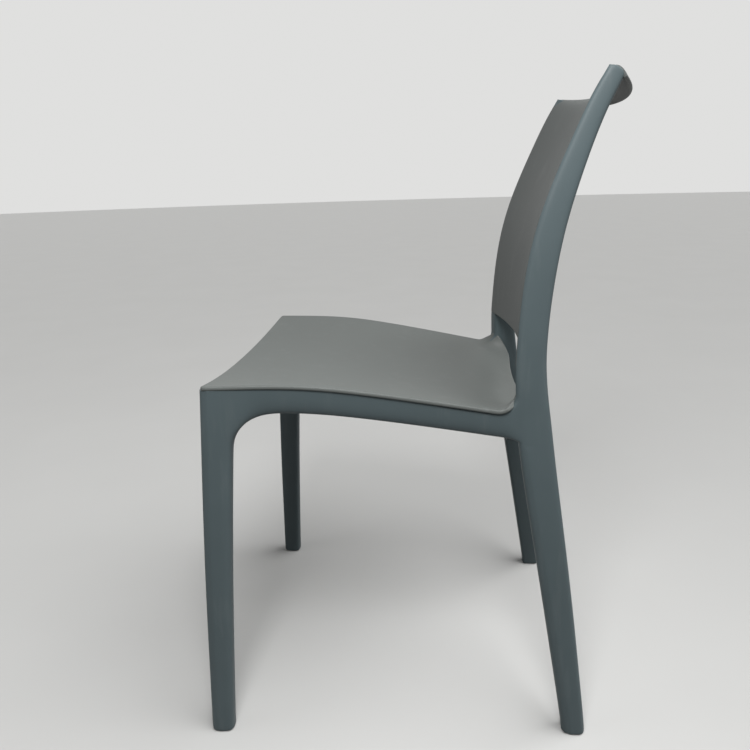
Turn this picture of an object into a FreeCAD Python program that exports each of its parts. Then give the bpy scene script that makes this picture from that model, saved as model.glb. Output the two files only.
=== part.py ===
import FreeCAD, Part
import math
import os
import Sketcher
from FreeCAD import Placement, Rotation, Vector

# A moulded plastic side chair with a dished seat on four splayed legs and a
# concave back whose top rolls over into a hand grip. It faces -Y, the sitter's
# left is +X, and the floor is z = 0 under the middle of its outer size.

doc = FreeCAD.newDocument("shell_chair")
sheet = doc.addObject("Spreadsheet::Sheet", "Sizes")

SIZES = [
    # Half widths of the seat, and how far the feet stand out and the back draws in
    ("seat_front_half", 209.0), ("seat_rear_half", 177.0),
    ("front_splay", 21.0), ("rear_splay", 31.0), ("back_taper", 29.5),
    # Heights
    ("chair_height", 810.0), ("seat_front_z", 480.0), ("seat_fore_z", 478.5),
    ("seat_aft_z", 466.0), ("seat_rear_z", 438.0), ("slot_height", 52.0),
    ("panel_top_drop", 40.0), ("leg_split_z", 430.0),
    # Places along the chair's depth
    ("front_foot_y", -267.5), ("seat_front_y", -238.0), ("seat_fore_y", -121.0),
    ("seat_aft_y", -29.0), ("seat_rear_y", 126.0),
    # Seat panel: thickness, dish at front and rear, bow of its edges, corners
    ("seat_thick", 5.5), ("dish_front", 21.0), ("dish_rear", 12.0),
    ("front_bow", 12.0), ("rear_bow", 17.0),
    ("front_corner", 9.0), ("rear_corner", 13.0),
    # Side frame: thickness across the chair and the edge rounding
    ("frame_thick", 24.0), ("upright_thick", 16.0),
    ("edge_round", 9.0), ("top_edge_round", 5.5), ("small_round", 5.0),
    ("seam_round", 2.0),
    ("rail_inset", 1.0), ("rail_tuck", 3.7), ("rail_tail", 16.0),
    ("rail_front_height", 31.5), ("rail_rear_height", 29.0),
    ("front_foot_depth", 29.5), ("front_leg_depth", 34.0), ("front_lead", 1.0),
    ("front_bulge", 1.5), ("front_round", 6.0),
    ("arch_length", 55.0), ("arch_height", 50.0), ("arch_squareness", 2.2),
    # Rear edge of the rear leg and upright, and its depth there, from foot to top
    ("foot_back_y", 226.5), ("foot_depth", 25.0),
    ("knee_z", 200.0), ("knee_back_y", 202.0), ("knee_depth", 34.5),
    ("hip_z", 405.0), ("hip_back_y", 171.0), ("hip_depth", 38.0),
    ("waist_z", 510.0), ("waist_back_y", 160.0), ("waist_depth", 31.5),
    ("chest_z", 640.0), ("chest_back_y", 173.0), ("chest_depth", 30.0),
    ("neck_drop", 39.0), ("neck_back_y", 214.0), ("neck_depth", 20.5),
    ("tip_back_y", 232.0), ("tip_drop", 12.0), ("tip_width", 17.5),
    ("crest_drop", 0.8), ("crest_back", 12.0),
    ("shoulder_drop", 3.5), ("shoulder_back", 4.0),
    # Back panel, flush with the uprights' front edges, and rolled top rail
    ("panel_thick", 5.0), ("panel_setback", 1.0), ("bite", 1.0),
    ("hollow_bottom", 20.0), ("hollow_top", 24.0),
    ("roll_thick", 4.0), ("ridge_dip", 12.0), ("rim_dip", 5.0),
    ("rim_reach", 36.0), ("ridge_width", 15.0), ("turn_drop", 10.0),
    # Cross rails and ribs under the seat
    ("cross_thick", 18.0), ("cross_height", 22.0), ("front_cross_gap", 12.0),
    ("rear_cross_gap", 6.0), ("rib_thick", 4.0), ("rib_height", 14.0),
    ("rib_spacing", 85.0),
    # Foot glides
    ("glide_height", 2.0), ("glide_radius", 8.5), ("glide_round", 1.5),
    ("stem_radius", 4.0), ("stem_height", 14.0),
]
for row, (name, size) in enumerate(SIZES, start=1):
    sheet.set("A%d" % row, name)
    sheet.set("B%d" % row, "%g" % size)
    sheet.setAlias("B%d" % row, name)
doc.recompute()


class Values:
    """The sheet's sizes, read by name."""

    def __getattr__(self, name):
        return float(getattr(sheet, name))


v = Values()
REACH = v.chair_height
FRONT_FOOT_HALF = v.seat_front_half + v.front_splay
REAR_FOOT_HALF = v.seat_rear_half + v.rear_splay
BACK_TOP_HALF = v.seat_rear_half - v.back_taper
PANEL_BOTTOM_Z = v.seat_rear_z + v.slot_height
PANEL_TOP_Z = v.chair_height - v.panel_top_drop
NECK_Z = v.chair_height - v.neck_drop
SIDES = (("left", 1), ("right", -1))


def blend(low, high, share):
    return low + (high - low) * share


def smooth(points, at):
    """Value at one place of a smooth curve through (place, value) points."""
    slopes = []
    for i in range(len(points)):
        before = points[max(i - 1, 0)]
        after = points[min(i + 1, len(points) - 1)]
        slopes.append((after[1] - before[1]) / (after[0] - before[0]))
    i = 0
    while i < len(points) - 2 and at > points[i + 1][0]:
        i += 1
    (start, low), (end, high) = points[i], points[i + 1]
    width = end - start
    share = (at - start) / width
    rise = 3 * share**2 - 2 * share**3
    enter = share**3 - 2 * share**2 + share
    leave = share**3 - share**2
    return blend(low, high, rise) + width * (enter * slopes[i] + leave * slopes[i + 1])


def spread(start, end, count):
    """Evenly spaced places from start to end, both included."""
    return [blend(start, end, i / (count - 1)) for i in range(count)]


def spline(points):
    curve = Part.BSplineCurve()
    curve.interpolate(points)
    return curve.toShape()


def line(start, end):
    return Part.LineSegment(start, end).toShape()


def arc(start, middle, end):
    return Part.Arc(start, middle, end).toShape()


def ring(edges):
    return Part.Wire(Part.sortEdges(edges)[0])


def block(x_range, y_range, z_range):
    size = [high - low for low, high in (x_range, y_range, z_range)]
    return Part.makeBox(*size, Vector(x_range[0], y_range[0], z_range[0]))


def mirrored(shape):
    return shape.mirror(Vector(0, 0, 0), Vector(1, 0, 0))


def add_feature(label, shape):
    """Keep a finished solid in the document under its own name."""
    solid = shape.Solids[0] if len(shape.Solids) == 1 else shape
    feature = doc.addObject("Part::Feature", label)
    feature.Shape = solid
    feature.Label = label
    return feature


# How many cuts a curved surface or edge is built from, and how near two are alike.
FEW_CUTS, SOME_CUTS, MANY_CUTS = 7, 9, 14
ALIKE = 0.01

# Side-view curves: the seat's side edge, and the rear leg and upright.
LIP = [
    (v.seat_front_y, v.seat_front_z), (v.seat_fore_y, v.seat_fore_z),
    (v.seat_aft_y, v.seat_aft_z), (v.seat_rear_y, v.seat_rear_z),
]
BACK_EDGE = [
    (0, v.foot_back_y), (v.knee_z, v.knee_back_y), (v.hip_z, v.hip_back_y),
    (v.waist_z, v.waist_back_y), (v.chest_z, v.chest_back_y), (NECK_Z, v.neck_back_y),
    (v.chair_height - v.tip_drop, v.tip_back_y),
]
FRONT_EDGE = [
    (0, v.foot_back_y - v.foot_depth), (v.knee_z, v.knee_back_y - v.knee_depth),
    (v.hip_z, v.hip_back_y - v.hip_depth), (v.waist_z, v.waist_back_y - v.waist_depth),
    (v.chest_z, v.chest_back_y - v.chest_depth), (NECK_Z, v.neck_back_y - v.neck_depth),
    (v.chair_height, v.tip_back_y - v.tip_width),
]


def lip_z(y):
    return smooth(LIP, y)


def rail_top_z(y):
    return lip_z(y) - v.seat_thick


def rail_bottom_z(y):
    share = (y - v.seat_front_y) / (v.seat_rear_y - v.seat_front_y)
    return rail_top_z(y) - blend(v.rail_front_height, v.rail_rear_height, share)


def front_edge_y(z):
    return smooth(FRONT_EDGE, z)


def upright_half(z):
    """Half width of the back at its uprights' outer faces."""
    return blend(REAR_FOOT_HALF, BACK_TOP_HALF, z / v.chair_height)


def inner_half(z):
    """Half width between the uprights' inner faces."""
    share = (z - v.leg_split_z) / (v.chair_height - v.leg_split_z)
    foot = upright_half(v.leg_split_z) - v.frame_thick
    return blend(foot, BACK_TOP_HALF - v.upright_thick, share)


def seat_half(y):
    share = (y - v.seat_front_y) / (v.seat_rear_y - v.seat_front_y)
    return blend(v.seat_front_half, v.seat_rear_half, share)


# Seat panel: dished cross-sections lofted from front to rear, then trimmed to
# its outline, whose front edge bows forward and whose rear edge bows backward.
def seat_section(y, rise):
    """A closed section at y, from the underside up to a height above it."""
    share = (y - v.seat_front_y) / (v.seat_rear_y - v.seat_front_y)
    dish = blend(v.dish_front, v.dish_rear, share)
    half = v.seat_front_half + v.front_bow
    edge = lip_z(y)
    drop = dish * (half / seat_half(y)) ** 2
    low = edge - dish
    corners = {}
    under_z = low - v.seat_thick
    for name, z in (("top", under_z + rise), ("under", under_z)):
        corners[name] = [
            Vector(-half, y, z + drop), Vector(0, y, z), Vector(half, y, z + drop),
        ]
    top, under = corners["top"], corners["under"]
    return ring([arc(*top), line(top[2], under[2]), arc(*under), line(under[0], top[0])])


def seat_outline():
    """The seat's plan outline as an upright prism with rounded corners."""
    front, rear = v.seat_front_y, v.seat_rear_y
    wide, narrow = v.seat_front_half, v.seat_rear_half
    wire = ring([
        arc(Vector(-wide, front, 0), Vector(0, front - v.front_bow, 0), Vector(wide, front, 0)),
        line(Vector(wide, front, 0), Vector(narrow, rear, 0)),
        arc(Vector(narrow, rear, 0), Vector(0, rear + v.rear_bow, 0), Vector(-narrow, rear, 0)),
        line(Vector(-narrow, rear, 0), Vector(-wide, front, 0)),
    ])
    prism = Part.Face(wire).extrude(Vector(0, 0, REACH))
    for radius, near_front in ((v.front_corner, True), (v.rear_corner, False)):
        edges = [
            edge for edge in prism.Edges
            if abs(edge.BoundBox.ZLength - REACH) < ALIKE
            and (edge.CenterOfMass.y < 0) == near_front
            and abs(edge.CenterOfMass.x) > narrow - v.rear_corner
        ]
        prism = prism.makeFillet(radius, edges)
    return prism


seat_stations = spread(
    v.seat_front_y - 2 * v.front_bow, v.seat_rear_y + 2 * v.rear_bow, FEW_CUTS
)


def seat_loft(rise):
    return Part.makeLoft([seat_section(y, rise) for y in seat_stations], True, False)


seat = seat_loft(v.seat_thick).common(seat_outline())
above_seat = seat_loft(v.cross_height + v.dish_front + v.dish_rear)


# Side frame: a side-view profile is thickened into a slab, its edges are rounded,
# and it is leaned out towards the foot and turned in towards the rear.
def twins(solid, edges, depth):
    """The solid's edges that repeat the profile's edges at a depth into the slab."""
    found = []
    for edge in solid.Edges:
        for source in edges:
            shift = edge.CenterOfMass - source.CenterOfMass + Vector(depth, 0, 0)
            if shift.Length < ALIKE:
                found.append(edge)
    return found


def rounded_slab(profile, front, front_radii, inner_radius, rest):
    """Thicken a profile and round its long edges; the outer front one may taper."""
    thick = v.frame_thick
    slab = Part.Face(Part.Wire(profile)).extrude(Vector(-thick, 0, 0))
    slab = slab.makeFillet(*front_radii, twins(slab, [front], 0))
    slab = slab.makeFillet(inner_radius, twins(slab, [front], thick))
    return slab.makeFillet(v.small_round, twins(slab, rest, 0) + twins(slab, rest, thick))


def leaned(solid, start, target, lean, turn):
    """Move the solid's start point to the target, leaned in and turned in."""
    rotation = Rotation(Vector(0, 0, 1), turn) * Rotation(Vector(0, 1, 0), -lean)
    solid.Placement = Placement(target - rotation.multVec(start), rotation)
    return solid


def front_frame():
    """Front leg, arch and side rail of the left side in one piece."""
    foot_y, seat_y, seat_z = v.front_foot_y, v.seat_front_y, v.seat_front_z
    outer_half = v.seat_front_half - v.rail_inset
    lean = math.degrees(math.atan((FRONT_FOOT_HALF - outer_half) / seat_z))
    hip_half = upright_half(rail_top_z(v.seat_rear_y))
    narrowing = outer_half - hip_half + v.rail_tuck
    turn = math.degrees(math.atan(narrowing / (v.seat_rear_y - seat_y)))
    toe = Vector(0, foot_y, 0)
    heel = Vector(0, foot_y + v.front_foot_depth, 0)
    arch_start_z = rail_bottom_z(seat_y) - v.arch_height
    arch_start_y = blend(foot_y, seat_y, arch_start_z / seat_z) + v.front_leg_depth
    arch_end_y = arch_start_y + v.arch_length
    arch_rise = rail_bottom_z(arch_end_y) - arch_start_z
    arch = []
    for angle in spread(0, math.pi / 2, SOME_CUTS):
        along = 1 - abs(math.cos(angle)) ** (2 / v.arch_squareness)
        up = math.sin(angle) ** (2 / v.arch_squareness)
        arch.append(Vector(
            0, arch_start_y + v.arch_length * along, arch_start_z + arch_rise * up
        ))
    rear_y = v.seat_rear_y + v.rail_tail
    bottom = [Vector(0, y, rail_bottom_z(y)) for y in spread(arch_end_y, rear_y, FEW_CUTS)]
    top = [Vector(0, y, rail_top_z(y)) for y in spread(rear_y, seat_y, SOME_CUTS)]
    brow = Vector(0, seat_y - v.front_lead, top[-1].z)
    shin = (brow + toe) / 2 - Vector(0, v.front_bulge, 0)
    front = arc(brow, shin, toe)
    inner_leg = line(heel, arch[0])
    arch_edge = spline(arch)
    bottom_edge = spline(bottom)
    profile = [
        front, line(toe, heel), inner_leg, arch_edge, bottom_edge,
        line(bottom[-1], top[0]), spline(top), line(top[-1], brow),
    ]
    rest = [inner_leg, arch_edge, bottom_edge]
    slab = rounded_slab(profile, front, [v.front_round], v.small_round, rest)
    corner = Vector(0, seat_y, seat_z)
    target = Vector(outer_half, seat_y, seat_z)
    return leaned(slab, corner, target, lean, turn), arch_end_y


def rear_frame():
    """Rear leg and upright of the left side in one S-shaped piece."""
    lean = math.atan((REAR_FOOT_HALF - BACK_TOP_HALF) / v.chair_height)
    stretch = 1 / math.cos(lean)
    tip_z = v.chair_height - v.tip_drop
    crest_z = v.chair_height - v.crest_drop

    def at(y, z):
        return Vector(0, y, z * stretch)

    heights = spread(0, tip_z, MANY_CUTS)
    front_points = [at(front_edge_y(z), z) for z in heights[:-1]]
    front_points.append(at(front_edge_y(crest_z), crest_z))
    back_points = [at(smooth(BACK_EDGE, z), z) for z in heights]
    front = spline(front_points)
    back = spline(back_points)
    crest = at(v.tip_back_y - v.crest_back, v.chair_height)
    shoulder = at(v.tip_back_y - v.shoulder_back, v.chair_height - v.shoulder_drop)
    profile = [
        front, line(front_points[-1], crest), arc(crest, shoulder, back_points[-1]),
        back, line(back_points[0], front_points[0]),
    ]
    radii = [v.edge_round, v.top_edge_round]
    slab = rounded_slab(profile, front, radii, v.seam_round, [back])
    target = Vector(REAR_FOOT_HALF, 0, 0)
    return leaned(slab, Vector(0, 0, 0), target, math.degrees(lean), 0)


EVERYWHERE = (-REACH, REACH)
ABOVE_FOOT = (v.glide_height, REACH)


def hollow(z):
    """How far the back's middle lies behind its side edges."""
    share = (z - PANEL_BOTTOM_Z) / (v.chair_height - PANEL_BOTTOM_Z)
    return blend(v.hollow_bottom, v.hollow_top, share)


def crest_half(z):
    """Half width between the crests of the uprights' rounded front edges."""
    return upright_half(z) - blend(v.edge_round, v.top_edge_round, z / v.chair_height)


def back_front_y(x, z):
    """The back's front surface: at each height an arc from crest to crest."""
    half = crest_half(z)
    depth = hollow(z)
    radius = (half**2 + depth**2) / (2 * depth)
    fall = radius - math.sqrt(radius**2 - x**2)
    return front_edge_y(z) + v.panel_setback + depth - fall


def room_section(z, behind):
    """A section of the space before the back's front surface, moved behind it."""
    half = upright_half(z) + v.frame_thick
    points = [Vector(x, back_front_y(x, z) + behind, z) for x in (-half, 0, half)]
    far = [Vector(x, -REACH, z) for x in (half, -half)]
    return ring([
        arc(*points), line(points[2], far[0]), line(*far), line(far[1], points[0])
    ])


def back_room(behind, low, high):
    sections = [room_section(z, behind) for z in spread(low, high, SOME_CUTS)]
    return Part.makeLoft(sections, True, False)


top_z = v.chair_height + v.tip_drop
sitter_room = back_room(0, v.seat_rear_z - v.seat_thick, top_z)
rear_slab = rear_frame().cut(sitter_room)
low_half = inner_half(v.leg_split_z)
high_half = inner_half(top_z)
inner_outline = Part.makePolygon([
    Vector(-low_half, 0, v.leg_split_z), Vector(low_half, 0, v.leg_split_z),
    Vector(high_half, 0, top_z), Vector(-high_half, 0, top_z),
    Vector(-low_half, 0, v.leg_split_z),
])
between_uprights = Part.Face(inner_outline).extrude(Vector(0, REACH, 0))
rear_leg_solid = rear_slab.common(
    block(EVERYWHERE, EVERYWHERE, (v.glide_height, v.leg_split_z))
)
upright_solid = rear_slab.common(
    block(EVERYWHERE, EVERYWHERE, (v.leg_split_z, 2 * REACH))
).cut(between_uprights)

frame_solid, arch_end = front_frame()
frame_solid = frame_solid.cut([rear_slab, above_seat])
front_leg_solid = frame_solid.common(block(EVERYWHERE, (-REACH, arch_end), ABOVE_FOOT))
rail_solid = frame_solid.common(block(EVERYWHERE, (arch_end, REACH), ABOVE_FOOT))


def bored(leg, centre):
    """Cut the socket for a glide's stem into the underside of a leg."""
    socket = Part.makeCylinder(v.stem_radius, v.stem_height, centre)
    return leg.cut(socket)


front_foot = Vector(
    FRONT_FOOT_HALF - v.frame_thick / 2,
    v.front_foot_y + v.front_foot_depth / 2,
    v.glide_height,
)
rear_foot = Vector(
    REAR_FOOT_HALF - v.frame_thick / 2,
    v.foot_back_y - v.foot_depth / 2,
    v.glide_height,
)
front_leg_solid = bored(front_leg_solid, front_foot)
rear_leg_solid = bored(rear_leg_solid, rear_foot)


# Back panel: a sheet behind the back's front surface, between the uprights.
both_uprights = [upright_solid, mirrored(upright_solid)]
sheet_solid = back_room(v.panel_thick, v.seat_rear_z - v.seat_thick, top_z).cut(sitter_room)
panel = sheet_solid.common(between_uprights).common(
    block(EVERYWHERE, EVERYWHERE, (PANEL_BOTTOM_Z, PANEL_TOP_Z))
)


# Top rail: the panel's top rolled over backwards, deepest in the middle, with an
# open hollow under it for the fingers.
def roll_section(x):
    away = 1 - (x / BACK_TOP_HALF) ** 2
    wall = v.roll_thick
    ridge_z = v.chair_height - v.ridge_dip * away
    turn_z = ridge_z - v.turn_drop
    foot = Vector(x, back_front_y(x, PANEL_TOP_Z), PANEL_TOP_Z)
    turn = Vector(x, back_front_y(x, turn_z), turn_z)
    ridge = Vector(x, back_front_y(x, ridge_z) + v.ridge_width * (1 + away) / 2, ridge_z)
    rim = Vector(
        x,
        v.tip_back_y + v.rim_reach * away,
        v.chair_height - v.tip_drop - v.rim_dip * away,
    )
    inner_foot = foot + Vector(0, v.panel_thick, 0)
    inner_turn = turn + Vector(0, wall * math.sqrt(0.75), -wall / 2)
    inner_ridge = ridge - Vector(0, 0, wall)
    inner_rim = rim - Vector(0, wall, wall) * math.sqrt(0.5)
    return Part.Wire([
        line(foot, turn), arc(turn, ridge, rim), line(rim, inner_rim),
        arc(inner_rim, inner_ridge, inner_turn), line(inner_turn, inner_foot),
        line(inner_foot, foot),
    ])


roll_half = inner_half(PANEL_TOP_Z) + v.bite
roll_loft = Part.makeLoft(
    [roll_section(x) for x in spread(-roll_half, roll_half, SOME_CUTS)], True, False
)
top_rail = roll_loft.cut(both_uprights)

seat_feature = add_feature("seat_panel", seat)
add_feature("back_panel", panel)
add_feature("top_rail", top_rail)
side_features = []
for side, sign in SIDES:
    for name, solid in (
        ("front_leg", front_leg_solid), ("rear_leg", rear_leg_solid),
        ("side_rail", rail_solid), ("upright", upright_solid),
    ):
        shape = solid if sign > 0 else mirrored(solid)
        feature = add_feature("%s_%s" % (name, side), shape)
        side_features.append(feature)

# Cross rails and ribs under the seat: plain bars cut to fit the seat's underside.
seat_room = doc.addObject("Part::Feature", "seat_room")
seat_room.Shape = above_seat
seat_and_sides = doc.addObject("Part::MultiFuse", "seat_and_sides")
seat_and_sides.Shapes = [seat_room] + side_features


def sized(formula):
    """Point each size named in a formula at the sheet."""
    words = []
    for word in formula.split():
        bare = word.strip("()-")
        words.append(word.replace(bare, "<<Sizes>>." + bare) if bare[:1].isalpha() else word)
    return " ".join(words)


def fitted_bar(label, length, width, height, place, tool):
    """A bar cut by its neighbours, so that it meets them face to face."""
    bar = doc.addObject("Part::Box", label + "_bar")
    for name, formula in (("Length", length), ("Width", width), ("Height", height)):
        bar.setExpression(name, sized(formula))
    for name, formula in zip("xyz", place):
        bar.setExpression("Placement.Base." + name, sized(formula))
    fitted = doc.addObject("Part::Cut", label)
    fitted.Base = bar
    fitted.Tool = tool
    fitted.Label = label
    return fitted


FRONT_Y = "( seat_front_y - front_bow + front_cross_gap )"
REAR_Y = "( seat_rear_y - rear_cross_gap )"
front_cross = fitted_bar(
    "front_cross_rail",
    "2 * seat_front_half - frame_thick",
    "cross_thick",
    "cross_height + dish_front",
    (
        "frame_thick / 2 - seat_front_half", FRONT_Y,
        "seat_front_z - dish_front - seat_thick - cross_height",
    ),
    seat_and_sides,
)
rear_cross = fitted_bar(
    "rear_cross_rail",
    "2 * seat_rear_half - frame_thick",
    "cross_thick",
    "cross_height + dish_rear",
    (
        "frame_thick / 2 - seat_rear_half", REAR_Y,
        "seat_rear_z - dish_rear - seat_thick - cross_height",
    ),
    seat_and_sides,
)


# Ribs: thin webs from one cross rail to the other that follow the seat's underside.
def rib_solid(x):
    start = v.seat_front_y - v.front_bow + v.front_cross_gap + v.cross_thick / 2
    end = v.seat_rear_y - v.rear_cross_gap + v.cross_thick / 2
    left = x - v.rib_thick / 2
    low = []
    high = []
    for y in spread(start, end, SOME_CUTS):
        share = (y - v.seat_front_y) / (v.seat_rear_y - v.seat_front_y)
        under = rail_top_z(y) - blend(v.dish_front, v.dish_rear, share)
        low.append(Vector(left, y, under - v.rib_height))
        high.append(Vector(left, y, under + v.seat_thick / 2))
    outline = Part.Wire([
        spline(low), line(low[-1], high[-1]), spline(high[::-1]), line(high[0], low[0])
    ])
    web = Part.Face(outline).extrude(Vector(v.rib_thick, 0, 0))
    return web.cut([above_seat, front_cross.Shape, rear_cross.Shape])


doc.recompute()
for name, x in (("left", v.rib_spacing), ("middle", 0), ("right", -v.rib_spacing)):
    add_feature("seat_rib_" + name, rib_solid(x))


# Foot glides: round pads pressed by a stem into the underside of each leg.
def origin_plane(body, role):
    return [plane for plane in body.Origin.OriginFeatures if plane.Role == role][0]


def disc_pad(body, name, radius, height, offset=None):
    """A round pad on or above the body's ground plane, sized from the sheet."""
    sketch = body.newObject("Sketcher::SketchObject", name + "_sketch")
    sketch.AttachmentSupport = [(origin_plane(body, "XY_Plane"), "")]
    sketch.MapMode = "FlatFace"
    if offset:
        sketch.setExpression("AttachmentOffset.Base.z", sized(offset))
    circle = Part.Circle(Vector(0, 0, 0), Vector(0, 0, 1), v.stem_radius)
    sketch.addGeometry(circle, False)
    sketch.addConstraint(Sketcher.Constraint("Coincident", 0, 3, -1, 1))
    size = sketch.addConstraint(Sketcher.Constraint("Radius", 0, v.stem_radius))
    sketch.setExpression("Constraints[%d]" % size, sized(radius))
    pad = body.newObject("PartDesign::Pad", name)
    pad.Profile = sketch
    pad.setExpression("Length", sized(height))
    return pad


def foot_glide(label, centre):
    body = doc.addObject("PartDesign::Body", label)
    body.Label = label
    disc_pad(body, label + "_disc", "glide_radius", "glide_height")
    stem = disc_pad(body, label + "_stem", "stem_radius", "stem_height", "glide_height")
    doc.recompute()
    lowest = [
        "Edge%d" % (i + 1) for i, edge in enumerate(stem.Shape.Edges)
        if edge.BoundBox.ZMax < ALIKE
    ]
    rounding = body.newObject("PartDesign::Fillet", label + "_rounding")
    rounding.Base = (stem, lowest)
    rounding.setExpression("Radius", sized("glide_round"))
    body.Placement = Placement(Vector(centre.x, centre.y, 0), Rotation())
    return body


for side, sign in SIDES:
    for name, centre in (("front", front_foot), ("rear", rear_foot)):
        place = Vector(sign * centre.x, centre.y, 0)
        foot_glide("glide_%s_%s" % (name, side), place)

doc.recompute()

# Nothing is written unless every object and every piece is sound.
for item in doc.Objects:
    if "Invalid" in item.State or "Error" in item.State:
        raise RuntimeError("%s did not build: %s" % (item.Label, item.State))

pieces = [
    item for item in doc.Objects
    if item.TypeId in ("Part::Feature", "Part::Cut", "PartDesign::Body")
    and item is not seat_room
]
os.makedirs("parts", exist_ok=True)
unsound = [
    piece.Label for piece in pieces
    if piece.Shape.isNull() or not piece.Shape.isValid() or len(piece.Shape.Solids) != 1
]
if unsound:
    raise RuntimeError("not one sound solid: " + ", ".join(unsound))
for piece in pieces:
    box = piece.Shape.BoundBox
    piece.Shape.exportStep("parts/%s.step" % piece.Label)
    print("%-20s %9.0f mm3  x %.1f..%.1f  y %.1f..%.1f  z %.1f..%.1f" % (
        piece.Label, piece.Shape.Volume, box.XMin, box.XMax, box.YMin, box.YMax,
        box.ZMin, box.ZMax,
    ))
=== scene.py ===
import bmesh
import bpy
import math
from mathutils import Euler, Matrix, Vector


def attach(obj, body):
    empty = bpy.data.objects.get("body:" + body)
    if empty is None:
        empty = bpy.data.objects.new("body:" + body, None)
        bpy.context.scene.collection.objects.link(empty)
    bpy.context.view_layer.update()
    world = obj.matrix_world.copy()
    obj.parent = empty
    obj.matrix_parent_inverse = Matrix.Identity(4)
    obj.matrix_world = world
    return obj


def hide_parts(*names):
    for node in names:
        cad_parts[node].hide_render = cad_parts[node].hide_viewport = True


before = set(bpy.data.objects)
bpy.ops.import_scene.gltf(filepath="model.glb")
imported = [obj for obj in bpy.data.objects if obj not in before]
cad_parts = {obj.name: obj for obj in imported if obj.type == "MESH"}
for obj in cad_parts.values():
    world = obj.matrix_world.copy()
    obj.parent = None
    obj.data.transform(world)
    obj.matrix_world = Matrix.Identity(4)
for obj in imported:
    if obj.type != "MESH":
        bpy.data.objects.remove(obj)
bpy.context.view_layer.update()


# Side frames: each is one moulded piece, a front leg that bends over into the
# rail under the seat and runs into the S-shaped rear leg and upright. Matt
# slate-grey polypropylene with a fine spark-eroded grain, moulded with the seat.
class Reading:
    """One output of a finish's nodes; arithmetic on readings adds Math nodes."""

    def __init__(self, finish, socket):
        self.finish = finish
        self.socket = socket

    def math(self, operation, first, second):
        return self.finish.node("ShaderNodeMath", {"operation": operation}, {0: first, 1: second})

    def __add__(self, other):
        return self.math("ADD", self, other)

    def __radd__(self, other):
        return self.math("ADD", other, self)

    def __sub__(self, other):
        return self.math("SUBTRACT", self, other)

    def __rsub__(self, other):
        return self.math("SUBTRACT", other, self)

    def __mul__(self, other):
        return self.math("MULTIPLY", self, other)

    def __rmul__(self, other):
        return self.math("MULTIPLY", other, self)

    def clamped(self):
        return self.math("MINIMUM", self.math("MAXIMUM", self, 0.0), 1.0)


class Finish:
    """The nodes of a material or of the studio, with one way to add any node."""

    def __init__(self, owner):
        owner.use_nodes = True
        self.owner = owner
        self.tree = owner.node_tree
        self.tree.nodes.clear()

    def node(self, kind, settings, values, output=0):
        made = self.tree.nodes.new(kind)
        for name, setting in settings.items():
            setattr(made, name, setting)
        for name, value in values.items():
            if isinstance(value, Reading):
                self.tree.links.new(value.socket, made.inputs[name])
            else:
                made.inputs[name].default_value = value
        return Reading(self, made.outputs[output]) if made.outputs else None

    def place(self):
        """Where a point lies in the chair's own metres."""
        return self.node("ShaderNodeTexCoord", {}, {}, "Object")

    def cloud(self, scale, detail, place):
        """Soft random patches, so many to the metre."""
        values = {"Vector": place, "Scale": scale, "Detail": detail, "Roughness": 0.6}
        return self.node("ShaderNodeTexNoise", {}, values)

    def between(self, low, high, share):
        """A colour between two, each of which is written out or comes from a node."""
        low, high = (end if isinstance(end, Reading) else (*end, 1.0) for end in (low, high))
        values = {"Factor": share, "A": low, "B": high}
        return self.node("ShaderNodeMix", {"data_type": "RGBA"}, values, 2)

    def output(self, shader, kind="ShaderNodeOutputMaterial"):
        self.node(kind, {}, {"Surface": shader})
        return self.owner


DUST_COLOUR = (0.30, 0.31, 0.31)
DUST_STRETCH = (1.0, 1.0, 0.14)
PLASTIC_IOR = 1.49


def grained_plastic(name, colour, grain_depth):
    """Matt moulded plastic: a fine even grain, a faint mottle and streaks of dust."""
    finish = Finish(bpy.data.materials.new(name))
    place = finish.place()
    mottle = finish.cloud(9.0, 3.0, place)
    darker = [0.88 * channel for channel in colour]
    lighter = [1.12 * channel for channel in colour]
    body = finish.between(darker, lighter, mottle)

    drawn_out = finish.node("ShaderNodeMapping", {}, {"Vector": place, "Scale": DUST_STRETCH})
    streaks = ((finish.cloud(55.0, 5.0, drawn_out) - 0.56) * 7.0).clamped()
    dust = streaks * finish.cloud(6.0, 2.0, place)
    tint = finish.between(body, DUST_COLOUR, dust * 0.10)

    grain = finish.cloud(1400.0, 2.0, place)
    pits = finish.node("ShaderNodeTexVoronoi", {}, {"Vector": place, "Scale": 900.0})
    values = {"Height": grain * 0.6 + pits * 0.4, "Strength": 0.35, "Distance": grain_depth}
    bump = finish.node("ShaderNodeBump", {}, values)
    shader = finish.node("ShaderNodeBsdfPrincipled", {}, {
        "Base Color": tint,
        "Roughness": 0.42 + mottle * 0.12 + grain * 0.06,
        "Normal": bump,
        "IOR": PLASTIC_IOR,
        "Specular IOR Level": 0.3,
    })
    return finish.output(shader)


def along(points, place):
    """Value at one place of a smooth curve through (place, value) points."""
    slopes = []
    for i in range(len(points)):
        before = points[max(i - 1, 0)]
        after = points[min(i + 1, len(points) - 1)]
        slopes.append((after[1] - before[1]) / (after[0] - before[0]))
    i = 0
    while i < len(points) - 2 and place > points[i + 1][0]:
        i += 1
    (start, low), (end, high) = points[i], points[i + 1]
    width = end - start
    share = (place - start) / width
    rise = 3 * share**2 - 2 * share**3
    enter = share**3 - 2 * share**2 + share
    leave = share**3 - share**2
    return low + (high - low) * rise + width * (enter * slopes[i] + leave * slopes[i + 1])


def blend(low, high, share):
    return low + (high - low) * share


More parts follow.
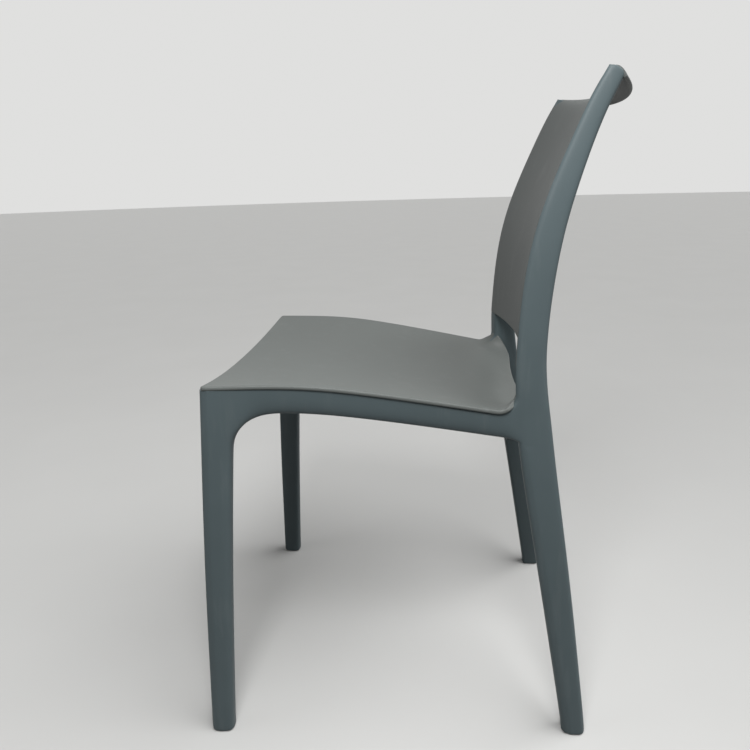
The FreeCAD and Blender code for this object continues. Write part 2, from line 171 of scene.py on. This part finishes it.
# Curves seen from the side: the seat's edge is given as (y, z), and the rear and
# front edges of the rear leg and upright, and the front leg's shin, as (z, y).
SEAT_FRONT_Y, SEAT_FRONT_Z = -0.238, 0.480
SEAT_REAR_Y = 0.126
SEAT_THICK = 0.0055
LIP = [(SEAT_FRONT_Y, SEAT_FRONT_Z), (-0.121, 0.4785), (-0.029, 0.466), (SEAT_REAR_Y, 0.438)]
BACK_EDGE = [
    (0, 0.2303), (0.200, 0.2042), (0.405, 0.1738), (0.510, 0.1630), (0.640, 0.1768),
    (0.740, 0.2055), (0.774, 0.2188), (0.798, 0.2318),
]
FRONT_EDGE = [
    (0, 0.2008), (0.200, 0.1668), (0.405, 0.1322), (0.500, 0.1268), (0.640, 0.1418),
    (0.771, 0.1922), (0.810, 0.2130),
]
SHIN = [(0.0, -0.2664), (0.237, -0.2550), (0.4745, -0.239)]

# Half widths at the outer faces: under the seat's front corners and rear corners, at
# the front and rear feet, and at the top of the back.
FRONT_HALF, REAR_HALF = 0.208, 0.177
FRONT_FOOT_HALF, REAR_FOOT_HALF = 0.230, 0.208
TOP_HALF = 0.1475

# Heights of the back's corners, of the slot's top and of the upright's foot, and how
# far the middle of the back's top lies below its corners.
TOP_Z, SLOT_TOP_Z, SPLIT_Z = 0.810, 0.490, 0.430
RIDGE_DROP = 0.012

# Thickness of the frame across the chair, and of the upright at its top; the rail's
# height; and, at the floor and at the top, the crest's distance from the outer face.
FRAME_THICK, UPRIGHT_THICK = 0.024, 0.016
RAIL_FRONT_HEIGHT, RAIL_REAR_HEIGHT = 0.0325, 0.0307
CREST_FLOOR_INWARD, CREST_TOP_INWARD = 0.009, 0.0055
HOLLOW_SLOT_DEPTH, HOLLOW_TOP_DEPTH = 0.020, 0.024


def rail_top_z(y):
    return along(LIP, y) - SEAT_THICK


def rail_bottom_z(y):
    share = (y - SEAT_FRONT_Y) / (SEAT_REAR_Y - SEAT_FRONT_Y)
    return rail_top_z(y) - blend(RAIL_FRONT_HEIGHT, RAIL_REAR_HEIGHT, share)


def outer_half(z):
    """Half width of the back at its uprights' outer faces."""
    return blend(REAR_FOOT_HALF, TOP_HALF, z / TOP_Z)


def inner_half(z):
    """Half width of the back between its uprights."""
    share = (z - SPLIT_Z) / (TOP_Z - SPLIT_Z)
    return blend(outer_half(SPLIT_Z) - FRAME_THICK, TOP_HALF - UPRIGHT_THICK, share)


def crest_inward(z):
    """How far inside the outer face the upright's front crest runs."""
    return blend(CREST_FLOOR_INWARD, CREST_TOP_INWARD, z / TOP_Z)


def back_surface_y(x, z):
    """The back's hollow front, one surface from crest to crest."""
    half = outer_half(z) - crest_inward(z)
    share = (z - SLOT_TOP_Z) / (TOP_Z - SLOT_TOP_Z)
    depth = blend(HOLLOW_SLOT_DEPTH, HOLLOW_TOP_DEPTH, share)
    radius = (half**2 + depth**2) / (2 * depth)
    fall = radius - math.sqrt(radius**2 - min(abs(x), half)**2)
    return along(FRONT_EDGE, z) + 0.001 + depth - fall


TOUCHING = 1e-5


def begin(name, points):
    """A circle with one corner for each point of the first section."""
    bpy.ops.object.select_all(action="DESELECT")
    bpy.ops.mesh.primitive_circle_add(vertices=len(points), radius=0.01)
    piece = bpy.context.object
    piece.name = name
    bpy.ops.object.mode_set(mode="EDIT")
    bpy.ops.mesh.select_all(action="SELECT")
    edit = bmesh.from_edit_mesh(piece.data)
    for corner, point in zip(list(edit.verts), points):
        corner.co = point
    bmesh.update_edit_mesh(piece.data)
    return piece


def extrude_to(piece, old_points, new_points):
    """Extrude what is selected, and move each new corner to its next place."""
    bpy.ops.mesh.extrude_region_move()
    edit = bmesh.from_edit_mesh(piece.data)
    loose = [corner for corner in edit.verts if corner.select]
    for old, new in zip(old_points, new_points):
        corner = min(loose, key=lambda one: (one.co - old).length)
        loose.remove(corner)
        corner.co = new
    bmesh.update_edit_mesh(piece.data)


def select_faces(piece, corners):
    """Select the faces that lie between the given corners."""
    bpy.ops.mesh.select_mode(type="FACE")
    bpy.ops.mesh.select_all(action="DESELECT")
    edit = bmesh.from_edit_mesh(piece.data)
    for face in edit.faces:
        face.select = all(
            min((vertex.co - corner).length for corner in corners) < TOUCHING
            for vertex in face.verts
        )
    edit.select_flush_mode()
    bmesh.update_edit_mesh(piece.data)


def crease(piece, line, sharpness):
    """Keep the edges along a line of corners sharper than the rest."""
    bpy.ops.mesh.select_mode(type="EDGE")
    bpy.ops.mesh.select_all(action="DESELECT")
    edit = bmesh.from_edit_mesh(piece.data)
    for edge in edit.edges:
        edge.select = all(
            min((vertex.co - point).length for point in line) < TOUCHING
            for vertex in edge.verts
        )
    bmesh.update_edit_mesh(piece.data)
    bpy.ops.transform.edge_crease(value=sharpness)


def shrunk(points, share):
    """The same section drawn in towards its middle."""
    middle = sum(points, Vector()) / len(points)
    return [middle + (point - middle) * share for point in points]


FOOT_LEVEL = 0.010
SOLE_DROP, SOLE_EDGE_DROP = 0.0086, 0.0058


def foot_rings(lowest):
    """Sections that close the foot below its lowest level with a rounded edge."""
    sole = [point - Vector((0, 0, SOLE_DROP)) for point in lowest]
    edge = [point - Vector((0, 0, SOLE_EDGE_DROP)) for point in lowest]
    return [shrunk(sole, 0.84), shrunk(sole, 0.96), edge]


def smoothed(piece, levels):
    """Subdivide the cage into its smooth surface."""
    bpy.ops.mesh.select_all(action="SELECT")
    bpy.ops.mesh.normals_make_consistent(inside=False)
    bpy.ops.object.mode_set(mode="OBJECT")
    rounding = piece.modifiers.new("rounding", "SUBSURF")
    rounding.levels = levels
    rounding.render_levels = levels
    bpy.ops.object.modifier_apply(modifier="rounding")
    bpy.ops.object.shade_smooth()


# The front of the frame is laid out upright and straight, then leaned outwards and
# turned in about the seat's front corner.
RAIL_TUCK = 0.005
FRONT_LEAN = math.atan((FRONT_FOOT_HALF - FRONT_HALF) / SEAT_FRONT_Z)
FRONT_TURN = math.atan((FRONT_HALF - REAR_HALF + RAIL_TUCK) / (SEAT_REAR_Y - SEAT_FRONT_Y))
FRONT_PLACE = (
    Matrix.Translation((FRONT_HALF, SEAT_FRONT_Y, SEAT_FRONT_Z))
    @ Matrix.Rotation(FRONT_TURN, 4, "Z") @ Matrix.Rotation(-FRONT_LEAN, 4, "Y")
    @ Matrix.Translation((0, -SEAT_FRONT_Y, -SEAT_FRONT_Z))
)
FOOT_DEPTH, ARCH_DEPTH = 0.0278, 0.0357
ARCH_RUN, ARCH_HEIGHT, ARCH_SQUARENESS = 0.0580, 0.050, 2.2
ARCH_FOOT_Z = rail_bottom_z(SEAT_FRONT_Y) - ARCH_HEIGHT
ARCH_FOOT_Y = along(SHIN, ARCH_FOOT_Z) + ARCH_DEPTH
ARCH_END_Y = ARCH_FOOT_Y + ARCH_RUN
ARCH_RISE = rail_bottom_z(ARCH_END_Y) - ARCH_FOOT_Z


def arch_point(share):
    """A place (y, z) on the arch from the leg, at 0, to the rail, at 1."""
    angle = share * math.pi / 2
    run = 1 - abs(math.cos(angle)) ** (2 / ARCH_SQUARENESS)
    rise = math.sin(angle) ** (2 / ARCH_SQUARENESS)
    return ARCH_FOOT_Y + ARCH_RUN * run, ARCH_FOOT_Z + ARCH_RISE * rise


def front_leg_ring(z, rear_y):
    """Corners of a level cut through the front leg, as (y, distance inwards)."""
    fore = along(SHIN, z)
    corners = [
        (fore + 0.003, FRAME_THICK), (fore - 0.0008, 0.020), (fore - 0.0008, 0.0065),
        (fore + 0.0016, 0.0020), (fore + 0.0095, 0), (fore + 0.019, 0),
        (rear_y - 0.0035, 0.0004), (rear_y + 0.0012, 0.0050), (rear_y + 0.0012, 0.019),
        (rear_y - 0.003, FRAME_THICK),
    ]
    return [FRONT_PLACE @ Vector((-inward, y, z)) for y, inward in corners]


GUSSET_START_Y, GUSSET_RUN, GUSSET_RADIUS = 0.1095, 0.0215, 0.0235


def gusset_rise(y):
    """The rail's top sweeps up into the upright behind the seat's corner."""
    run = min(max(y - GUSSET_START_Y, 0), GUSSET_RUN)
    return GUSSET_RADIUS - math.sqrt(GUSSET_RADIUS**2 - run**2)


def rail_grid(y, low):
    """Corners of an upright cut through the rail, row by row."""
    high = rail_top_z(y) + gusset_rise(y)
    rows = ((low, 0.0062), (low + 0.009, 0.0018), (high - 0.003, 0.0004), (high, 0.0005))
    grid = []
    for z, outer in rows:
        for inward in (outer, outer + 0.0055, 0.019, FRAME_THICK):
            grid.append(FRONT_PLACE @ Vector((-inward, y, z)))
    return grid


# The front leg is drawn up from its foot into the corner under the seat, and the
# rail is drawn out of that corner's rear side.
leg_levels = []
for z in (FOOT_LEVEL, 0.08, 0.16, 0.24, 0.32, 0.365):
    depth = blend(FOOT_DEPTH, ARCH_DEPTH, z / ARCH_FOOT_Z)
    leg_levels.append((z, along(SHIN, z) + depth))
leg_levels += [arch_point(share)[::-1] for share in (0.0, 0.16, 0.33)]
corner_y, corner_low = arch_point(0.5)
corner_top = rail_top_z(corner_y)
corner_levels = [corner_low, corner_low + 0.012, corner_top - 0.003, corner_top]
rings = [front_leg_ring(z, rear_y) for z, rear_y in leg_levels]
rings = foot_rings(rings[0]) + rings
rings += [front_leg_ring(z, corner_y) for z in corner_levels]
front_part = begin("side_frame_left", rings[0])
for old, new in zip(rings, rings[1:]):
    extrude_to(front_part, old, new)
bpy.ops.mesh.edge_face_add()

rear_face = slice(6, 10)
grid = []
for z in corner_levels:
    grid += front_leg_ring(z, corner_y)[rear_face]
select_faces(front_part, grid)
stations = [arch_point(share) for share in (0.67, 0.84, 1.0)]
for y in (-0.13, -0.09, -0.045, 0.0, 0.045, 0.085, 0.108, 0.122):
    stations.append((y, rail_bottom_z(y)))
for y, low in stations:
    new_grid = rail_grid(y, low)
    extrude_to(front_part, grid, new_grid)
    grid = new_grid
bpy.ops.mesh.delete(type="FACE")

shin_ridge = [ring[4] for ring in rings[2:]]
crease(front_part, shin_ridge, 0.8)
top_line = rings[-1][:7] + [rail_grid(y, low)[12] for y, low in stations[:-3]]
crease(front_part, top_line, 0.75)
bpy.ops.object.mode_set(mode="OBJECT")


CREST_START_Z, CREST_RUN = 0.435, 0.02


def rear_ring(z):
    """Corners of a level cut through the rear leg or, higher up, the upright."""
    fore = along(FRONT_EDGE, z)
    rear = along(BACK_EDGE, min(z, BACK_EDGE[-1][0]))
    outside = outer_half(z)
    thick = outside - inner_half(z) if z > SPLIT_Z else FRAME_THICK
    crest = crest_inward(z)
    share = min(max((z - CREST_START_Z) / CREST_RUN, 0), 1)
    crest_x = blend(0.85, 0.55, share) * crest
    hollow_in = [
        blend(fore, back_surface_y(outside - inward, z), share)
        for inward in (thick, crest_x + 0.0035)
    ]
    corners = [
        (hollow_in[0] + 0.005, thick), (hollow_in[0] + 0.0004, thick - 0.001),
        (hollow_in[1], crest_x + 0.0035), (fore + 0.001 * share, crest_x),
        (fore + blend(0.27, 0.50, share) * crest, blend(0.27, 0.20, share) * crest),
        (fore + 1.2 * crest, 0),
        (rear - 0.007, 0), (rear - 0.0004, 0.0022), (rear, thick - 0.004),
        (rear - 0.005, thick),
    ]
    return [Vector((outside - inward, y, z)) for y, inward in corners]


# The rear leg and upright are drawn up the same way, with an opening at the hip.
HIP_Y = 0.134
low, high = rail_bottom_z(HIP_Y), rail_top_z(HIP_Y)
hip_levels = [low, low + 0.007, high + 0.012, high + 0.020]
levels = [FOOT_LEVEL, 0.08, 0.16, 0.24, 0.31, 0.36, 0.385, 0.397, *hip_levels]
levels += [0.458, 0.472, 0.49, 0.51, 0.55, 0.60, 0.65, 0.70, 0.74, 0.77, 0.788, 0.800]
rings = [rear_ring(z) for z in levels]

# The upright's top falls rearwards, and inwards with the ridge of the back. Its cage
# stands a little high, because the smooth surface draws in.
REAR_FALL = 0.0085
CAGE_RISE = 0.0004
top = rear_ring(TOP_Z + CAGE_RISE)
fore, length = top[3].y, top[8].y - top[3].y
for point in top:
    backward = max((point.y - fore) / length, 0)
    inward = 1 - (point.x / TOP_HALF) ** 2
    point.z -= REAR_FALL * backward**2 + RIDGE_DROP * inward
rings = foot_rings(rings[0]) + rings + [top]
rear_part = begin("rear_part", rings[0])
for old, new in zip(rings, rings[1:]):
    extrude_to(rear_part, old, new)
bpy.ops.mesh.edge_face_add()
bpy.ops.mesh.inset(thickness=0.0022)

front_face = slice(1, 5)
opening = []
for z in hip_levels:
    opening += rear_ring(z)[front_face]
select_faces(rear_part, opening)
bpy.ops.mesh.delete(type="FACE")
crest_line = [ring[3] for ring in rings if ring[3].z > 0.46]
crease(rear_part, crest_line, 1.0)
leg_ridge = [ring[5] for ring in rings if ring[5].z < 0.40]
crease(rear_part, leg_ridge, 0.8)
crease(rear_part, top[:5] + top[9:], 0.85)
bpy.ops.object.mode_set(mode="OBJECT")

# The two are joined where the rail runs into the hip.
bpy.ops.object.select_all(action="DESELECT")
rear_part.select_set(True)
front_part.select_set(True)
bpy.context.view_layer.objects.active = front_part
bpy.ops.object.join()
side_frame = bpy.context.object
bpy.ops.object.mode_set(mode="EDIT")
bpy.ops.mesh.select_mode(type="EDGE")
bpy.ops.mesh.select_all(action="DESELECT")
edit = bmesh.from_edit_mesh(side_frame.data)
for edge in edit.edges:
    middle = (edge.verts[0].co + edge.verts[1].co) / 2
    at_hip = middle.z > 0.1 and middle.y > 0.1
    edge.select = edge.is_boundary and at_hip
bmesh.update_edit_mesh(side_frame.data)
bpy.ops.mesh.bridge_edge_loops()
bpy.ops.mesh.select_all(action="SELECT")
bpy.ops.mesh.fill_holes(sides=0)
smoothed(side_frame, 3)
PLASTIC_GRAIN = 0.0002
frame_grey = grained_plastic("frame_grey", (0.074, 0.098, 0.105), PLASTIC_GRAIN)
side_frame.data.materials.append(frame_grey)
bpy.ops.object.duplicate()
mirror_frame = bpy.context.object
mirror_frame.name = "side_frame_right"
bpy.ops.object.mode_set(mode="EDIT")
bpy.ops.mesh.select_all(action="SELECT")
bpy.ops.transform.resize(value=(-1, 1, 1), center_override=(0, 0, 0))
bpy.ops.mesh.normals_make_consistent(inside=False)
bpy.ops.object.mode_set(mode="OBJECT")
for piece, side in ((side_frame, "left"), (mirror_frame, "right")):
    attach(piece, "root")
    names = ["%s_%s" % (name, side) for name in ("front_leg", "side_rail", "rear_leg", "upright")]
    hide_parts(*names)


# Seat: a thin dished sheet of the same plastic with a rounded rolled lip, whose
# rear corners sweep up the uprights' front faces. Moulded with the side frames.
SEAT_FRONT_HALF, SEAT_REAR_HALF = 0.2085, 0.1765
DISH_FRONT, DISH_REAR = 0.021, 0.012
SEAT_BOW_FRONT, SEAT_BOW_REAR = 0.012, 0.0215
REAR_SWEEP, REAR_SWEEP_HALF = 0.007, 0.12
FRONT_BAND, REAR_BAND = 0.012, 0.034
FRONT_CORNER, REAR_CORNER = 0.007, 0.014

# The ears in the seat's rear corners: where they start along the chair and across
# it, the radius of their sweep, and its turn in degrees, inside and at the edge.
EAR_START_Y, EAR_START_X, EAR_EDGE_START_X = 0.1080, 0.130, 0.1500
EAR_RADIUS, EAR_EDGE_RADIUS = 0.0250, 0.0160
EAR_TURN, EAR_EDGE_TURN = 90, 50


def seat_half(y):
    share = (y - SEAT_FRONT_Y) / (SEAT_REAR_Y - SEAT_FRONT_Y)
    return blend(SEAT_FRONT_HALF, SEAT_REAR_HALF, share)


def seat_z(x, y):
    """Height of the dished sheet's top."""
    dish = blend(DISH_FRONT, DISH_REAR, (y - SEAT_FRONT_Y) / (SEAT_REAR_Y - SEAT_FRONT_Y))
    return along(LIP, y) - dish * (1 - (x / seat_half(y)) ** 2)


def sheet(name, columns, rows, place):
    """A grid laid out so that each of its corners lies at a place of its own."""
    bpy.ops.object.select_all(action="DESELECT")
    bpy.ops.mesh.primitive_grid_add(
        x_subdivisions=len(columns) - 1, y_subdivisions=len(rows) - 1, size=2
    )
    piece = bpy.context.object
    piece.name = name
    bpy.ops.object.mode_set(mode="EDIT")
    edit = bmesh.from_edit_mesh(piece.data)
    for corner in edit.verts:
        column = round((corner.co.x + 1) / 2 * (len(columns) - 1))
        row = round((corner.co.y + 1) / 2 * (len(rows) - 1))
        corner.co = place(columns[column], rows[row])
    bmesh.update_edit_mesh(piece.data)
    bpy.ops.object.mode_set(mode="OBJECT")
    return piece


def thickened(piece, thickness):
    """Give a sheet its thickness, behind the side that is laid out."""
    wall = piece.modifiers.new("wall", "SOLIDIFY")
    wall.thickness = thickness
    wall.offset = -1.0
    wall.use_even_offset = True
    bpy.ops.object.modifier_apply(modifier="wall")


def rounded_corner(across, back, radius):
    """Draw in a corner: distances from its two edges, on arcs about its centre."""
    if across >= radius or back >= radius:
        return across, back
    run, rise = radius - across, radius - back
    share = max(run, rise) / math.hypot(run, rise)
    return radius - run * share, radius - rise * share


def seat_place(inset, depth):
    """The place for a column, an inset from a side edge, and a row."""
    side = 1 if inset > 0 else -1
    kind, distance = depth
    inward = abs(inset)
    if kind == "front":
        inward, distance = rounded_corner(inward, distance, FRONT_CORNER)
        x = max(seat_half(SEAT_FRONT_Y + distance) - inward, 0)
        bow = SEAT_BOW_FRONT * (1 - (x / SEAT_FRONT_HALF) ** 2)
        y = SEAT_FRONT_Y - bow + distance
        return Vector((side * x, y, seat_z(x, y)))
    if kind == "middle":
        y = blend(SEAT_FRONT_Y + FRONT_BAND, EAR_START_Y, distance)
        x = max(seat_half(y) - inward, 0)
        bow = SEAT_BOW_FRONT * (1 - (x / SEAT_FRONT_HALF) ** 2) * (1 - distance)
        return Vector((side * x, y - bow, seat_z(x, y - bow)))

    inward, rise = rounded_corner(inward, (1 - distance) * REAR_BAND, REAR_CORNER)
    distance = 1 - rise / REAR_BAND
    x = max(seat_half(EAR_START_Y) - inward, 0)
    sweep = REAR_SWEEP * min(x / REAR_SWEEP_HALF, 1) ** 2
    rear_y = SEAT_REAR_Y + SEAT_BOW_REAR + sweep
    plain_y = blend(EAR_START_Y, rear_y, distance)
    plain = Vector((side * x, plain_y, seat_z(x, plain_y)))
    share = min(max((x - EAR_START_X) / (EAR_EDGE_START_X - EAR_START_X), 0), 1)
    outward = (x - EAR_EDGE_START_X) / (SEAT_REAR_HALF - EAR_EDGE_START_X)
    outward = min(max(outward, 0), 1)
    angle = math.radians(blend(EAR_TURN, EAR_EDGE_TURN, outward)) * distance
    radius = blend(EAR_RADIUS, EAR_EDGE_RADIUS, outward)
    ear_y = EAR_START_Y + radius * math.sin(angle)
    ear_z = seat_z(x, EAR_START_Y) + radius * (1 - math.cos(angle))
    ear = Vector((side * min(x, seat_half(ear_y)), ear_y, ear_z))
    return plain.lerp(ear, 1 - math.sqrt(1 - share**2) if share < 1 else 1)


# A column is an inset from the right edge, written below zero, or from the left edge.
# HAIR keeps the sign of an inset of nothing, and MIDDLE is more than half the seat.
HAIR, MIDDLE = 1e-9, 1.0
insets = [0.0, 0.0035, 0.008, 0.0135, 0.018, 0.023, 0.029, 0.035, 0.042]
insets += [0.060, 0.085, 0.115, 0.150]
columns = [-inset - HAIR for inset in insets]
columns.append(MIDDLE)
columns += [inset + HAIR for inset in insets[::-1]]
rows = [("front", distance) for distance in (0.0, 0.0035, 0.008)]
rows += [("middle", share) for share in (0.05, 0.13, 0.25, 0.38, 0.52, 0.66, 0.80, 0.90, 0.96)]
rows += [("rear", share) for share in (0.0, 0.2, 0.4, 0.58, 0.72, 0.84, 0.93, 1.0)]
seat = sheet("seat_shell", columns, rows, seat_place)
thickened(seat, SEAT_THICK)
bpy.ops.object.mode_set(mode="EDIT")
smoothed(seat, 2)
# The seat is the frame's plastic, but its grey is painted lighter and warmer than the frame's:
# painted light for the lamp light that falls on its top.
seat_grey_painted_lit = grained_plastic("seat_grey_painted_lit", (0.112, 0.122, 0.117), PLASTIC_GRAIN)
seat.data.materials.append(seat_grey_painted_lit)
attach(seat, "root")
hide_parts("seat_panel")


# Back: one thin sheet of the same plastic, moulded with the uprights on each side of
# it, hollow from side to side, its top rolled over backwards into a hand grip.
BACK_THICK, BACK_PROUD = 0.0045, 0.0005

# How much of the crest the sheet runs into, and how much of that the roll's ends
# make up; the roll's turn and ridge; and its rim, whose middle lies back and down.
CREST_COVER, END_WIDENING = 0.6, 0.8
TURN_DROP, RIDGE_BACK = 0.010, 0.0075
RIM_Y, RIM_BOW = 0.2328, 0.0363
RIM_Z, RIM_DROP = 0.797, 0.006


def front_place(x, z):
    """A place on the back's front, which stands just proud of the hollow surface."""
    return Vector((x, back_surface_y(x, z) - BACK_PROUD, z))


def back_place(across, step):
    """A place on the back's outer side, up its front and then over its roll."""
    kind, share = step
    widening = END_WIDENING * share if kind == "roll" else 0
    x = across * (outer_half(TOP_Z) - CREST_COVER * crest_inward(TOP_Z) * (1 - widening))
    away = 1 - (x / TOP_HALF) ** 2
    ridge_z = TOP_Z + CAGE_RISE - RIDGE_DROP * away
    turn_z = ridge_z - TURN_DROP
    if kind == "front":
        z = blend(SLOT_TOP_Z, turn_z, share)
        return front_place(across * (outer_half(z) - CREST_COVER * crest_inward(z)), z)
    turn = front_place(x, turn_z)
    ridge = Vector((x, back_surface_y(x, ridge_z) + RIDGE_BACK * (1 + away), ridge_z))
    rim = Vector((x, RIM_Y + RIM_BOW * away, RIM_Z - RIM_DROP * away))
    bend = 2 * ridge - (turn + rim) / 2
    return turn.lerp(bend, share).lerp(bend.lerp(rim, share), share)


halves = [1.0, 0.985, 0.955, 0.90, 0.80, 0.68, 0.54, 0.38, 0.2]
across = [-share for share in halves] + [0.0] + halves[::-1]
up_the_front = (0.0, 0.012, 0.05, 0.15, 0.28, 0.42, 0.56, 0.70, 0.82, 0.92)
steps = [("front", share) for share in up_the_front]
steps += [("roll", share) for share in (0.0, 0.2, 0.4, 0.6, 0.8, 0.93, 1.0)]
back = sheet("back_shell", across, steps, back_place)
thickened(back, BACK_THICK)
bpy.ops.object.mode_set(mode="EDIT")
smoothed(back, 2)
back_grey = grained_plastic("back_grey", (0.084, 0.092, 0.090), PLASTIC_GRAIN)
back.data.materials.append(back_grey)
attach(back, "root")
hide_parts("back_panel", "top_rail")


# Cross rails and ribs under the seat, moulded with it, and four softer dark
# plastic glides pushed into the feet: the loaded parts' own shapes, given finishes.
GLIDE_GRAIN = 0.0001
glide_grey = grained_plastic("glide_grey", (0.02, 0.022, 0.024), GLIDE_GRAIN)
for name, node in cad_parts.items():
    look = glide_grey if name.startswith("glide") else frame_grey
    for index in range(len(node.material_slots)):
        node.material_slots[index].material = look


# Studio: a plain pale floor that runs out to a pale horizon, and soft light from
# a wide ceiling, a lamp above the camera and a weak fill from the chair's front.
def seen(finish):
    """1 for a ray of sight, also by way of gloss or glass, and 0 for one of light."""
    names = ("Is Camera Ray", "Is Glossy Ray", "Is Transmission Ray")
    rays = [finish.node("ShaderNodeLightPath", {}, {}, name) for name in names]
    return rays[0] + rays[1] + rays[2]


FLOOR_RADIUS = 30.0
FLOOR_BOUNCE = (0.11, 0.11, 0.11, 1.0)


def pale_floor():
    """A matt pale floor that throws little light back up under the seat."""
    finish = Finish(bpy.data.materials.new("pale_floor"))
    mottle = finish.cloud(3.0, 2.0, finish.place())
    pale = finish.between((0.56, 0.56, 0.55), (0.59, 0.59, 0.58), mottle)
    values = {"Factor": seen(finish), "A": FLOOR_BOUNCE, "B": pale}
    tint = finish.node("ShaderNodeMix", {"data_type": "RGBA", "clamp_factor": True}, values, 2)
    values = {"Base Color": tint, "Roughness": 0.9}
    return finish.output(finish.node("ShaderNodeBsdfPrincipled", {}, values))


bpy.ops.object.select_all(action="DESELECT")
bpy.ops.mesh.primitive_circle_add(vertices=96, radius=FLOOR_RADIUS, fill_type="NGON")
floor = bpy.context.object
floor.name = "floor"
floor.data.materials.append(pale_floor())

AIR_COLOUR = (0.93, 0.93, 0.92, 1.0)
AIR_LIGHT, AIR_SEEN = 0.14, 0.80
studio = Finish(bpy.data.worlds.new("studio"))
values = {"Factor": seen(studio), "A": AIR_LIGHT, "B": AIR_SEEN}
strength = studio.node("ShaderNodeMix", {"clamp_factor": True}, values)
values = {"Color": AIR_COLOUR, "Strength": strength}
air = studio.node("ShaderNodeBackground", {}, values)
bpy.context.scene.world = studio.output(air, "ShaderNodeOutputWorld")


def lamp(name, kind, place, target, size, power):
    """A lamp aimed at a target; its size is an angle for a sun, else a width."""
    light = bpy.data.lights.new(name, kind)
    light.energy = power
    if kind == "SUN":
        light.angle = size
    else:
        light.size = size
    held = bpy.data.objects.new(name, light)
    held.visible_camera = False
    bpy.context.collection.objects.link(held)
    held.location = place
    held.rotation_euler = (Vector(target) - Vector(place)).to_track_quat("-Z", "Y").to_euler()


lamp("ceiling", "SUN", (0.3, 1.3, 2.1), (0, 0, 0), math.radians(60), 2.5)
lamp("side_lamp", "AREA", (0.78, -0.02, 1.30), (0.12, 0.2, 0.75), 0.4, 11.5)
lamp("front_fill", "AREA", (0.8, -2.4, 1.7), (0, 0, 0.5), 1.2, 5.0)

# The eye stands at the chair's left side and looks a little down and rearwards.
EYE = (0.88183, 0.03405, 0.69736)
LENS_MM, SENSOR_MM = 30.34, 36.0
YAW, PITCH, ROLL = math.radians(5.66), math.radians(16.73), math.radians(-1.72)
bpy.ops.object.camera_add(location=EYE)
camera = bpy.context.object
camera.data.lens = LENS_MM
camera.data.sensor_width = SENSOR_MM
aim = Euler((math.pi / 2 - PITCH, 0, math.pi / 2 + YAW)).to_matrix()
camera.rotation_euler = (aim @ Matrix.Rotation(ROLL, 3, "Z")).to_euler()
bpy.context.scene.camera = camera

bpy.context.scene.view_settings.view_transform = "Standard"
